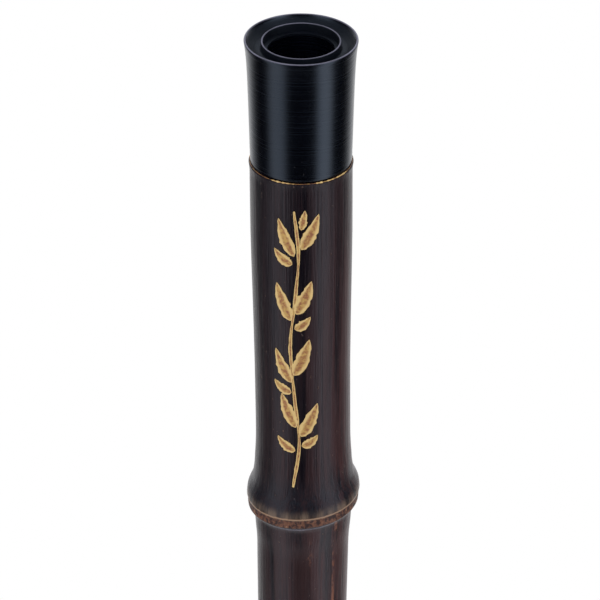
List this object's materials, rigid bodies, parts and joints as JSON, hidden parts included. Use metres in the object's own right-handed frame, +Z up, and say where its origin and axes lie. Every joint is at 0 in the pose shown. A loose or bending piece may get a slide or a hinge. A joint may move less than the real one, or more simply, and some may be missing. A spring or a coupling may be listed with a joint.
{
  "type": "transverse bamboo flute",
  "caption": "Two-section transverse bamboo flute with horn end caps, a brass tuning slide, blow hole, membrane hole and finger holes.",
  "frame": {"origin": "centre of the foot cap's flat end, where the flute stands", "axes": "+Z up the bore from the foot to the head rim, -Y the side of the blow hole, membrane hole and finger holes, +X to the right when that side is looked at with the head up"},
  "size_m": [0.0282, 0.0282, 0.606],
  "materials": {
    "black_horn": "turned horn, satin gloss with fine lathe lines",
    "dark_bamboo": "lacquered dark bamboo, glossy, long fibre streaks",
    "brass": "turned, lightly tarnished",
    "cork": "natural cork, matt",
    "reed_film": "thin dry reed membrane with fine cross wrinkles"
  },
  "bodies": {
    "foot_section": {"foot_tube": "dark_bamboo", "foot_cap": "black_horn", "joint_tenon": "brass", "tenon_ring": "brass"},
    "head_section": {"head_tube": "dark_bamboo", "head_cap": "black_horn", "joint_socket": "brass", "socket_ring": "brass", "membrane": "reed_film"},
    "stopper": {"head_cork": "cork"}
  },
  "joints": [
    {"name": "tuning_slide", "type": "slide", "parent": "foot_section", "child": "head_section", "axis": [0, 0, 1], "range_m": [0, 0.015]},
    {"name": "stopper_slide", "type": "slide", "parent": "head_section", "child": "stopper", "axis": [0, 0, 1], "range_m": [-0.004, 0.004]}
  ]
}
